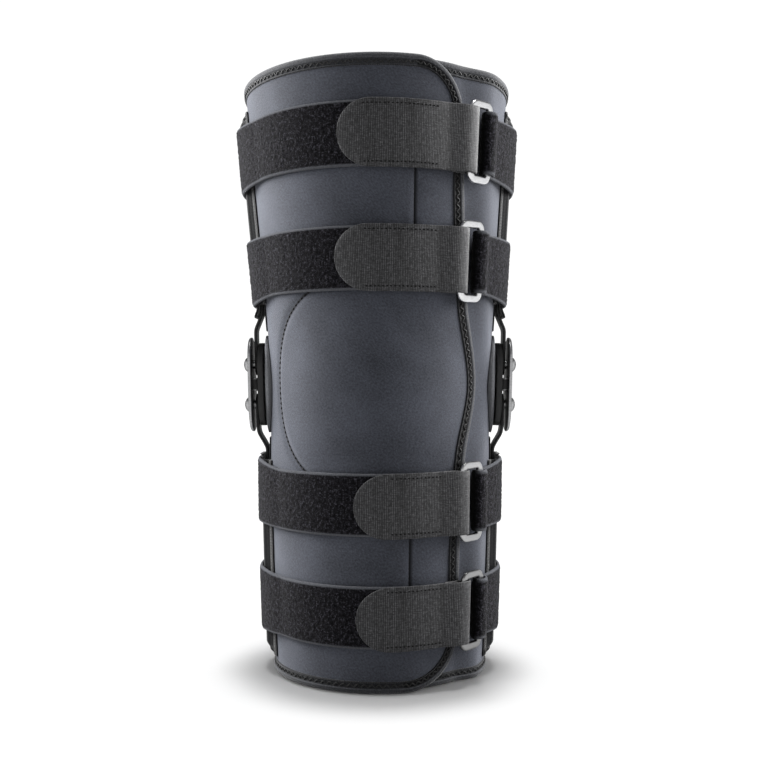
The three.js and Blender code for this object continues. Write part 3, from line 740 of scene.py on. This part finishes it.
TAPE_FACE = np.array([
    # depth into the panel, drop of the outer face, share of painted shade
    (7.0, 0.55, 1),
    (6.85, 0.2, 1),
    (6.6, 0, 0.8),
    (6.3, 0.05, 0.8),
    (6.0, 0.3, 1),
    (5.6, 0.5, 1),
    (4.5, 0.55, 1),
    (3.3, 0.5, 1),
    (2.9, 0.25, 0.7),
    (2.5, 0, 0),
    (2.1, 0, 0),
])
TAPE_SETTLE = 0.6
# Depth beyond which the painted shadow of the gap at the tape's inner edge stays at full strength
TAPE_EDGE = 6.7
TAPE_WIDENS = (30, 90)
# Share of painted shade on the roll where it meets the tape's faces
ROLL_PAINTED_SHADE = 0.6
TAPE_RADIUS = WALL / 2 + TAPE_ROOM + TAPE
TAPE_BEND = TAPE_RADIUS - HEM
CHANNEL = Sizes(depth=4.5, half=0.85, period=4.6, thread=0.4, arch=0.15)


def tape_profile():
    """The folded tape's section: depth into the panel, level out of its face and share of painted shade."""
    turn = np.linspace(np.pi / 2, 1.5 * np.pi, 11)
    inside, inner = turn[::-2], TAPE_RADIUS - TAPE
    depth, drop, painted_shade = TAPE_FACE.T
    settle = TAPE_SETTLE * ease(depth, TAPE_BEND, TAPE_COVER)
    out, under = TAPE_RADIUS - settle - drop, inner - settle
    rolled, tucked = TAPE_BEND + TAPE_RADIUS * np.cos(turn), TAPE_BEND + inner * np.cos(inside)
    depths = np.concatenate([depth, rolled, depth[::-1], depth[::5], tucked, depth[::-5]])
    rise, fall = TAPE_RADIUS * np.sin(turn), inner * np.sin(inside)
    levels = np.concatenate([out, rise, -out[::-1], -under[::5], fall, under[::-5]])
    # Painted shade on the roll next to the faces, none on its outermost curve
    roll = ROLL_PAINTED_SHADE * np.clip(np.abs(turn - np.pi) / (np.pi / 4) - 1, 0, 1)
    painted_shades = np.concatenate([painted_shade, roll, painted_shade[::-1]])
    return depths, levels - WALL / 2, np.pad(painted_shades, (0, len(depths) - len(painted_shades)))


def tape_point(places, depth, level):
    """A point of a binding whose places hold turn, height and the way into the panel."""
    turn, z, across, up = (places[:, k, None] for k in range(4))
    return wrap_point(turn + to_degrees(across * depth, z), z + up * depth, level)


def rim_places(z, inward_up, step=1.6):
    last = flap_turn(z)
    turns = np.append(np.arange(WRAP_COLUMNS[0][0], last, to_degrees(step, z)), last)
    return stacked(turns, z, 0, inward_up)


def flap_places(step=1.6):
    heights = wrap_heights()
    fine = even(stacked(to_arc(flap_turn(heights), heights), heights), step)
    z = np.clip(fine[:, 1], HEM, HEIGHT - HEM)
    sine = corner_share(z)
    cosine = np.sqrt(1 - sine**2)
    slope = read(FLAP, 1, z + 0.5) - read(FLAP, 1, z - 0.5)
    up = np.sign(z - HEIGHT / 2) * sine * corner_size(z, "across") / corner_size(z, "up") - slope * cosine
    long = np.hypot(cosine, up)
    return stacked(flap_turn(z), z, -cosine / long, -up / long)


def make_binding(node, places, widening=0.0, channel=1.0):
    """A folded tape along places, wider away from the rims, with painted shade that channel scales away
    from its inner edge.
    """
    depth, level, painted_shade = tape_profile()
    # Painted shade at the inner edge stays full; the rest is scaled by channel
    painted_shade = np.where(depth > TAPE_EDGE, painted_shade, channel * painted_shade)
    z = places[:, 1:2]
    wide = 1 + widening * ease(z, *TAPE_WIDENS) * ease(HEIGHT - z, *TAPE_WIDENS)
    depth = TAPE_BEND + (depth - TAPE_BEND) * np.where(depth > TAPE_BEND, wide, 1)
    rings = tape_point(places, depth, level)
    gone = lengths(tape_point(places, np.zeros(1), np.zeros(1))[:, 0])
    around = lengths(stacked(depth[0], level))
    cloth = cloth_places(gone[:, None], around, painted_shade)
    piece = add_piece(f"{node}_cloth", sweep(rings), [BINDING], "binding", [node], cloth)
    stitches = make_zigzag(node, places, gone, wide[:, 0])


def make_zigzag(node, places, gone, wide, step=0.5):
    """A thread that winds down the channel on a binding's outer face."""
    at = np.arange(0, gone[-1], step)
    spots = stacked(*(np.interp(at, gone, part) for part in places.T))
    wave = np.sin(2 * np.pi * at / CHANNEL.period)
    depth = TAPE_BEND + (CHANNEL.depth - TAPE_BEND + CHANNEL.half * wave) * np.interp(at, gone, wide)
    level = TAPE_ROOM + TAPE - TAPE_SETTLE + CHANNEL.arch * (1 - wave**2)
    points = tape_point(spots, depth[:, None], level[:, None])[:, 0]
    return add_piece(f"{node}_threads", tube(points, CHANNEL.thread), [GREY_THREAD], "binding")


# Straps


def ring_seat(strap):
    offset = (RING.width - RING.bar) / 2
    radius = leg_radius(strap.height)
    swing = np.degrees(np.arcsin(offset / (radius + BAR_LEVEL)))
    level = np.sqrt((radius + BAR_LEVEL) ** 2 - offset**2) - radius
    left, right = (to_arc(strap.ring + way * swing, strap.height) for way in (-1, 1))
    return level, left, right


def fold_round(arc, side, thickness):
    """Half a turn round a ring's bar, from above it to below it on the given side."""
    reach = RING.thickness / 2 + RING.clearance + thickness / 2
    middle = arc + side * (RING.bar - RING.thickness) / 2
    angle = np.pi * (0.5 - np.linspace(0, 1, 9))
    return stacked(middle + side * reach * np.cos(angle), BAR_LEVEL + reach * np.sin(angle))


def lying(start, end, z, level, step=3):
    turns = np.linspace(start, end, max(2, round(abs(end - start) / step)))
    return stacked(to_arc(turns, z), level)


def crown_sag(z):
    return POCKET.crown ** 2 / (2 * leg_radius(z))


def band_line(strap):
    """The band's centre line as arc and level: round the ring, then once round the brace."""
    z, half = strap.height, BAND.thickness / 2
    rest = BAND.rest + half
    _, left, right = ring_seat(strap)
    fold = fold_round(right, -1, BAND.thickness)
    crown = POCKET.lift + crown_sag(z) + POCKET.thickness + GAP
    shoulder = to_degrees(POCKET.crown + GAP, z)
    inner = leg_radius(z) + BAND.rest
    clear = shoulder + np.degrees(np.arccos(inner / (inner - BAND.rest + crown)))
    end = 360 + to_degrees(left - TAB.start - 2 * GAP, z)

    def over(azimuth):
        return lying(azimuth - shoulder, azimuth + shoulder, z, crown + half)

    start = [(right + BAND.fold_back, BAR_LEVEL + GAP), (right + RING.bar / 2, fold[0, 1])]
    return np.concatenate([
        start,
        fold,
        lying(to_degrees(right + RING.bar / 2, z), 90 - clear, z, rest),
        over(90),
        lying(90 + clear, 270 - clear, z, rest),
        over(270),
        lying(270 + clear, end, z, rest),
    ])


def side_share(azimuth):
    """0 at the front of the brace, 1 at its sides and back."""
    return ease(np.abs((azimuth + 180) % 360 - 180), *SIDE_TURN)


def strip_rings(line, centre, halves, section, proud=0, rise=0):
    """Loops of points for a flat strip along a line of arc and level. Rise moves it up along the way."""
    share, shift, level = section
    arc, out = beside(line, level + proud)
    across = share * halves[:, None] + shift
    rings = leg_point(to_degrees(arc, centre), centre + np.reshape(rise, (-1, 1)) + across, out)
    return rings, across


def make_band(strap):
    z, name = strap.height, f"strap_{strap.name}_band"
    line = soften(band_line(strap), 0.95)
    half = BAND.thickness / 2
    section = flat_section(half, steps=45, back_steps=23)
    share, shift, level = section
    turns = to_degrees(line[:, 0], z)
    halves = STRAP_HALF + BAND.widening * side_share(turns) - half
    inside = (1 - np.abs(share)) * halves[:, None] + half - np.abs(shift)
    gone = lengths(line)
    inside = np.minimum(inside, gone[:, None])
    rim = 1 - ease(inside, *BAND.rim)
    tufts = random.normal(size=rim.shape)
    tufts = TUFT.own * tufts + (1 - TUFT.own) * np.roll(tufts, 1, axis=0)
    tall = np.clip(TUFT.mean + TUFT.spread * tufts, TUFT.least, 1)
    pile = (1 - rim) * np.sign(level) * BAND.pile * tall
    rings, across = strip_rings(line, z, halves, section, pile, strap.lift * side_share(turns))
    cloth = cloth_places(gone[:, None], across, rim)
    piece = add_piece(f"{name}_cloth", sweep(rings), [PILE], "loop_band", [name], cloth)


def tab_line(strap):
    """The tab's centre line: from the band's end, round the ring's left bar and back over the band."""
    z = strap.height
    _, left, _ = ring_seat(strap)
    fold = fold_round(left, 1, TAB.thickness)[::-1]
    level = BAND.rest + BAND.thickness + TAB.lay + TAB.thickness / 2
    leave, settled = left - RING.bar / 2, left - TAB.settle
    share = np.linspace(0, 1, 8)
    sinking = fold[-1, 1] + (level - fold[-1, 1]) * ease(share, 0, 1)
    slope = stacked(leave + (settled - leave) * share, sinking)
    return np.concatenate([
        [(left - TAB.start, fold[0, 1])],
        fold,
        slope,
        lying(to_degrees(settled, z), strap.end, z, level)[1:],
    ])


def tab_drop(strap, arc):
    """How far a tab has sunk at an arc: from nothing where it settles to its full drop at its round end."""
    _, left, _ = ring_seat(strap)
    settled, end = left - TAB.settle, to_arc(strap.end, strap.height)
    return strap.drop * np.clip((settled - arc) / (settled - end), 0, 1)


def make_tab(strap):
    z, name = strap.height, f"strap_{strap.name}_tab"
    line = soften(tab_line(strap), 0.8, reach=1.5)
    gone = lengths(line)
    half = TAB.thickness / 2
    left_over = np.clip(TAB.half - (gone[-1] - gone), 0, TAB.half)
    halves = np.maximum(np.sqrt(TAB.half**2 - left_over**2) - half, TAB.tip)
    section = flat_section(half, steps=31, back_steps=9)
    rings, across = strip_rings(line, z, halves, section, rise=-tab_drop(strap, line[:, 0]))
    cloth = cloth_places(gone[:, None], across, 0)
    piece = add_piece(f"{name}_cloth", sweep(rings), [WEBBING], "webbing_tab", [name], cloth)
    stitches = make_tab_stitches(strap, name)


def make_tab_stitches(strap, name, inset=3.2, stitch=1.6, pitch=2.5, radius=0.46, lift=0.2):
    """Two rows of stitches along the tab."""
    z = strap.height
    first, last = (to_arc(turn, z) for turn in strap.stitched)
    level = BAND.rest + BAND.thickness + TAB.lay + TAB.thickness
    arcs = np.arange(first, last, pitch)
    arc, row = (v.ravel() for v in np.meshgrid(arcs, [inset - TAB.half, TAB.half - inset]))
    begin, end = (
        leg_point(to_degrees(place, z), z + row - tab_drop(strap, place), level)
        for place in (arc, arc + stitch)
    )
    form = threads(begin, end, radius, lift)
    return add_piece(f"{name}_threads", form, [BLACK_THREAD], "webbing_tab")


def rounded_outline(half_wide, half_tall, radius, steps):
    """Points round a rectangle with round corners, and the way out at each point."""
    quarter = np.linspace(0, np.pi / 2, steps)
    turns = np.concatenate([quarter + k * np.pi / 2 for k in range(4)])
    corners = np.repeat([(1, 1), (-1, 1), (-1, -1), (1, -1)], steps, axis=0)
    outs = stacked(np.cos(turns), np.sin(turns))
    return corners * (half_wide - radius, half_tall - radius) + radius * outs, outs


def make_ring(strap, corner_steps=8, round_steps=14, squareness=0.6):
    """A rounded rectangular frame of satin metal with a softly squared section."""
    z, name = strap.height, f"strap_{strap.name}_ring"
    inset = RING.bar / 2
    half_wide, half_tall = RING.width / 2 - inset, RING.height / 2 - inset
    middle, outs = rounded_outline(half_wide, half_tall, RING.corner - inset, corner_steps)
    angle = circle(round_steps)
    squared = [np.sign(v) * np.abs(v) ** squareness for v in (np.cos(angle), np.sin(angle))]
    wide, deep = inset * squared[0], RING.thickness / 2 * squared[1]
    flat = middle[:, None] + outs[:, None] * wide[:, None]
    level, _, _ = ring_seat(strap)
    turn = facing(strap.ring, z)
    low, high = (leg_point(strap.ring, z + way * STRAP_HALF, 0) for way in (-1, 1))
    up = unit(high - low)
    inward = unit(np.cross(up, (np.cos(turn), np.sin(turn), 0)))
    across = np.cross(inward, up)
    centre = leg_point(strap.ring, z, level)
    rings = centre + flat[..., :1] * across + flat[..., 1:] * up - deep[:, None] * inward
    add_piece(f"{name}_body", sweep(rings, closed=True), [RING_METAL], "ring_metal", [name])


# Pockets, backings and bars


def pocket_level(run, arc, z):
    """Level of a pocket's inner face: an arch over the bar between two flat feet."""
    flared = run.flare * (1 - ease(z, run.mouth, run.throat))
    closing = ease(z, run.end + POCKET.past * run.way, run.tip)
    lift = (POCKET.lift + flared) * (1 - closing) + GAP * closing
    crown = lift + crown_sag(z) * np.minimum(np.abs(arc) / POCKET.crown, 1) ** 2 * (1 - closing)
    return GAP + (crown - GAP) * (1 - ease(np.abs(arc), POCKET.crown, POCKET.foot))


def make_pocket(side, azimuth, run, step=1.5, columns=57):
    name = f"pocket_{side}_{run.name}"
    rows = round(abs(run.tip - run.mouth) / step)
    arcs = np.linspace(-POCKET.half, POCKET.half, columns)
    arc, share = np.meshgrid(arcs, np.linspace(0, 1, rows))
    mouth = run.mouth + run.way * run.tongue * ease(np.abs(arc), *TONGUE_SIDE)
    z = mouth + (run.tip - mouth) * share
    inner = pocket_level(run, arc, z)
    full = ease(POCKET.half - np.abs(arc), 0, POCKET.edge)
    thickness = POCKET.thickness * (POCKET.thin + (1 - POCKET.thin) * full)
    turns = azimuth + to_degrees(arc, z)
    form = shell(leg_point(turns, z, inner + thickness), leg_point(turns, z, inner))
    cloth = cloth_places(z, arc, 0, faces=2)
    piece = add_piece(f"{name}_cloth", form, [KNIT], "pocket_knit", [name], cloth)
    stitches = make_overlock(name, azimuth, run)


def make_overlock(name, azimuth, run, pitch=2.0, reach=4.6, clear=0.1, start=0.5, radius=0.4, lift=0.5):
    """Overlock threads over both long edges of a pocket and over its closed end."""
    low, high = sorted((run.mouth + run.way * run.tongue, run.tip))
    z = np.arange(low + 1, high - 1, pitch)
    begins, ends = [], []
    for way in (-1, 1):
        edge = way * (POCKET.half + clear)
        foot = edge - way * reach
        begins.append(leg_point(azimuth + to_degrees(edge, z), z, GAP + start))
        over = GAP + POCKET.thickness + clear
        ends.append(leg_point(azimuth + to_degrees(foot, z), z + 0.5 * pitch, over))
    arc = np.arange(-POCKET.half + 1, POCKET.half - 1, pitch)
    tip, back = run.tip + clear * run.way, run.tip - reach * run.way
    over = pocket_level(run, arc, back) + POCKET.thickness + clear
    begins.append(leg_point(azimuth + to_degrees(arc, tip), tip, GAP + start))
    ends.append(leg_point(azimuth + to_degrees(arc, back), back, over))
    form = threads(np.concatenate(begins), np.concatenate(ends), radius, lift)
    return add_piece(f"{name}_threads", form, [OVERLOCK_THREAD], "pocket_knit")


def make_backing(side, azimuth, run, rows=60, columns=17):
    name = f"backing_{side}_{run.name}"
    arcs = np.linspace(-BACKING.half, BACKING.half, columns)
    arc, z = np.meshgrid(arcs, np.linspace(run.strip, run.end, rows))
    turns = azimuth + to_degrees(arc, z)
    form = shell(leg_point(turns, z, BACKING.outer), leg_point(turns, z, BACKING.inner))
    cloth = cloth_places(z, arc, 0, faces=2)
    piece = add_piece(f"{name}_cloth", form, [BACKING_KNIT], "pocket_knit", [name], cloth)


def make_bar(side, azimuth, sign, run):
    """A flat bar, from its round end at the hinge, bent in to the wrap and up or down its pocket."""
    name, half = f"hinge_{side}_{run.name}_bar", BAR.half
    z = np.linspace(run.landing, run.end, 12)
    lying_run = leg_point(azimuth, z, BAR.level)[:, [0, 2]]
    ends = [hinge_point(sign, ARM_LEVEL, 0, run.way * up) for up in (PIVOT_RISE - half, run.bend)]
    line = np.concatenate([[end[[0, 2]] for end in ends], lying_run])
    line = soften(line, 1.0, reach=4)
    gone = lengths(line)
    past = np.clip(half - np.minimum(gone, gone[-1] - gone), 0, half)
    halves = np.maximum(np.sqrt(half**2 - past**2), BAR.blunt) - BAR.inset
    share, shift, level = flat_section(BAR.thickness / 2, steps=7, back_steps=7, round_steps=6)
    x, height = beside(line, level)
    across = share * halves[:, None] + shift * BAR.roundness
    rings = stacked(x, across, height)
    arris = (np.abs(shift) > 0) != (np.abs(np.roll(shift, -1)) > 0)
    marked = np.append(np.tile(arris, len(line) - 1), [1, 1])
    add_piece(f"{name}_body", sweep(rings), [COATED, WORN_EDGE], "bar_metal", [name], marked=marked)


# Hinges


def plate_outline(height, inset, steps=25):
    """An upright outline with half-round ends, as across and up."""
    radius = PLATE_HALF - inset
    rise = height / 2 - PLATE_HALF
    turn = np.linspace(0, np.pi, steps)
    top = stacked(radius * np.cos(turn), rise + radius * np.sin(turn))
    return np.concatenate([top, -top])


def make_plate(side, sign, kind, plate, face, arris=0.4, brow=2, fullness=0.8):
    """A round-ended plate, coated inside, with its own finish from the soft inner arris outward."""
    name, chamfer = f"hinge_{side}_{kind}_plate", plate.chamfer
    bend = np.linspace(0, np.pi / 2, 4)
    soft_in, soft_out = arris * (1 - np.sin(bend)), arris * (1 - np.cos(bend))
    inset = np.concatenate([soft_in, chamfer * PLATE_SLOPE, [chamfer + brow]])
    rise = np.sin(PLATE_SLOPE * np.pi / 2) ** fullness
    out = np.concatenate([plate.inner + soft_out, plate.outer - chamfer * (1 - rise), [plate.outer]])
    outlines = np.stack([plate_outline(plate.height, i) for i in inset])
    rings = hinge_point(sign, out[:, None], outlines[..., 0], outlines[..., 1])
    bands = np.repeat(np.arange(len(inset) - 1), outlines.shape[1])
    marked = np.append(bands > 0, [0, 1])
    add_piece(f"{name}_body", sweep(rings), [PLATE_COAT, face], "plate_metal", [name], marked=marked)


def make_rivet(side, sign, run, sides=32, steps=9):
    """A turned rivet across the hinge, with a domed head on the outer plate."""
    name, seat = f"hinge_{side}_{run.name}_rivet", OUTER_PLATE.outer + SEAT_GAP
    shaft, head, arris = RIVET.shaft, RIVET.head, RIVET.arris
    foot = [(shaft, INNER_PLATE.inner), (shaft, seat), (head - arris, seat), (head, seat + arris)]
    turn = np.linspace(0, np.pi / 2, steps)[:-1]
    dome = [(head * np.cos(t), seat + RIVET.neck + RIVET.dome * np.sin(t)) for t in turn]
    radius, out = np.array([*foot, *dome], float).T[..., None]
    across, up = radius * np.cos(circle(sides)), run.way * PIVOT_RISE + radius * np.sin(circle(sides))
    rings = hinge_point(sign, out, across, up)
    add_piece(f"{name}_body", sweep(rings), [RIVET_STEEL], "rivet_metal", [name])


def make_spacer(side, sign, chamfer=0.4, corner=0.9, steps=5):
    """A block between the two plates, coated, with bright arrises."""
    low, high = INNER_PLATE.outer + SEAT_GAP, OUTER_PLATE.inner - SEAT_GAP
    out = np.array([low, low + chamfer, high - chamfer, high])
    half_wide, half_tall = SPACER.width / 2, SPACER.height / 2
    insets = (chamfer, 0, 0, chamfer)
    outlines = np.stack([rounded_outline(half_wide - i, half_tall - i, corner, steps)[0] for i in insets])
    rings = hinge_point(sign, out[:, None], outlines[..., 0], outlines[..., 1])
    arris = np.arange(4 * steps) % steps != steps - 1
    marked = np.append(np.tile(arris, len(out) - 1), [0, 0])
    name = f"hinge_{side}_spacer"
    add_piece(f"{name}_body", sweep(rings), [COATED, WORN_EDGE], "rivet_metal", [name], marked=marked)


def make_pad(side, azimuth, sign, rounds=14, sides=72):
    """A foam pad that lies on the wrap, flat under the plate and rounded at its rim."""
    name = f"hinge_{side}_pad"
    out = np.sin(np.linspace(PAD.middle, np.pi / 2, rounds))[:, None]
    arc = PAD.half_width * out * np.cos(circle(sides))
    up = PAD.half_height * out * np.sin(circle(sides))
    under = leg_point(azimuth + to_degrees(arc, KNEE + up), KNEE + up, PAD.inner)
    drop = PAD.edge_drop * (arc / PAD.half_width) ** 2
    face = half_width(KNEE) + PAD.outer + up * np.tan(HINGE_TILT) - drop
    over = stacked(shift_x(KNEE) + sign * face, under[..., 1], under[..., 2])
    full = np.sqrt(1 - PAD.rounding * out[..., None] ** PAD.steep)
    over = under + (over - under) * full
    rings = np.concatenate([over, under[::-1]])
    cloth = cloth_places(arc, up, UNSEWN, faces=2)
    piece = add_piece(f"{name}_foam", sweep(rings), [PAD_JERSEY], "pad_foam", [name], cloth)


# Stage, in metres

FLOOR = Sizes(size=6.0, drop=0.0003)
SOFTBOX = Sizes(size=0.7, target=(0, 0, 0.24))


def make_floor():
    mesh = bpy.data.meshes.new("floor")
    size, drop = FLOOR.size, FLOOR.drop
    corners = [(-size, -size), (size, -size), (size, size), (-size, size)]
    mesh.from_pydata([(x, y, -drop) for x, y in corners], [], [(0, 1, 2, 3)])
    look = Look("floor_white", roughness=0.9, specular_ior_level=0.1)
    look.paint(look.ramp(look.noise(look.place(), 3.0), (0.3, 0.92), (0.7, 0.94)))
    mesh.materials.append(look.material)
    floor = link_object("floor", mesh)


def make_top_light(name, spread, energy, tilt=0.8):
    """A far light from above and a little behind, for the soft shadow at the brace's foot."""
    light = bpy.data.lights.new(name, "SUN")
    light.angle, light.energy = np.radians(spread), energy
    lamp = link_object(name, light)
    lamp.rotation_euler = (np.radians(-tilt), 0, 0)


def make_softbox(name, place, power):
    """A large square light that is aimed at the brace and lights its soft pieces alone."""
    light = bpy.data.lights.new(name, "AREA")
    light.size, light.energy = SOFTBOX.size, power
    lamp = link_object(name, light)
    lamp.visible_camera = False
    lamp.location = place
    lamp.rotation_euler = (Vector(place) - Vector(SOFTBOX.target)).to_track_quat("Z", "Y").to_euler()
    lamp.light_linking.receiver_collection = bpy.data.collections.new(f"{name}_lights")
    for piece in SOFT_PIECES:
        lamp.light_linking.receiver_collection.objects.link(piece)


def make_room():
    """White walls all round up to the picture's top edge, under a dim ceiling."""
    world = bpy.data.worlds.new("studio")
    world.use_nodes = True
    tree = world.node_tree
    way = add_node(tree, "TexCoord").outputs["Generated"]
    height = add_node(tree, "SeparateXYZ", {"Vector": way}).outputs["Z"]
    fade = {"Value": height, "From Min": 0.38, "From Max": 0.56, "To Min": 1.06, "To Max": 0.15}
    strength = add_node(tree, "MapRange", fade).outputs["Result"]
    backdrop = tree.nodes["Background"]
    backdrop.inputs["Color"].default_value = (1, 1, 1, 1)
    tree.links.new(strength, backdrop.inputs["Strength"])
    bpy.context.scene.world = world


def make_studio():
    scene = bpy.context.scene
    scene.view_settings.view_transform = "Standard"
    make_room()
    make_top_light("narrow_top_light", spread=5, energy=1.2)
    make_top_light("wide_top_light", spread=22, energy=1.7)
    make_softbox("left_softbox", (-0.84, 0.2, 0.62), 42)
    make_softbox("right_softbox", (0.84, 0.2, 0.62), 39)
    camera = bpy.data.cameras.new("camera")
    camera.lens, camera.sensor_width = 47.3, 36
    camera.clip_start = 0.01
    eye = link_object("camera", camera)
    eye.location = (0.0022, -0.703, 0.1998)
    eye.rotation_euler = (np.pi / 2, 0, 0)
    scene.camera = eye


make_floor()
make_wrap()
make_binding("binding_top", rim_places(HEIGHT - HEM, -1), channel=0.5)
make_binding("binding_flap", flap_places(), widening=0.35)
make_binding("binding_bottom", rim_places(HEM, 1), channel=0.7)
for strap in STRAPS:
    make_band(strap)
    make_tab(strap)
    make_ring(strap)
for side, azimuth, sign in SIDES:
    make_pad(side, azimuth, sign)
    make_plate(side, sign, "inner", INNER_PLATE, COATED)
    make_plate(side, sign, "outer", OUTER_PLATE, BRIGHT_FACE)
    make_spacer(side, sign)
    for run in RUNS:
        make_bar(side, azimuth, sign, run)
        make_rivet(side, sign, run)
        make_pocket(side, azimuth, run)
        make_backing(side, azimuth, run)
make_studio()
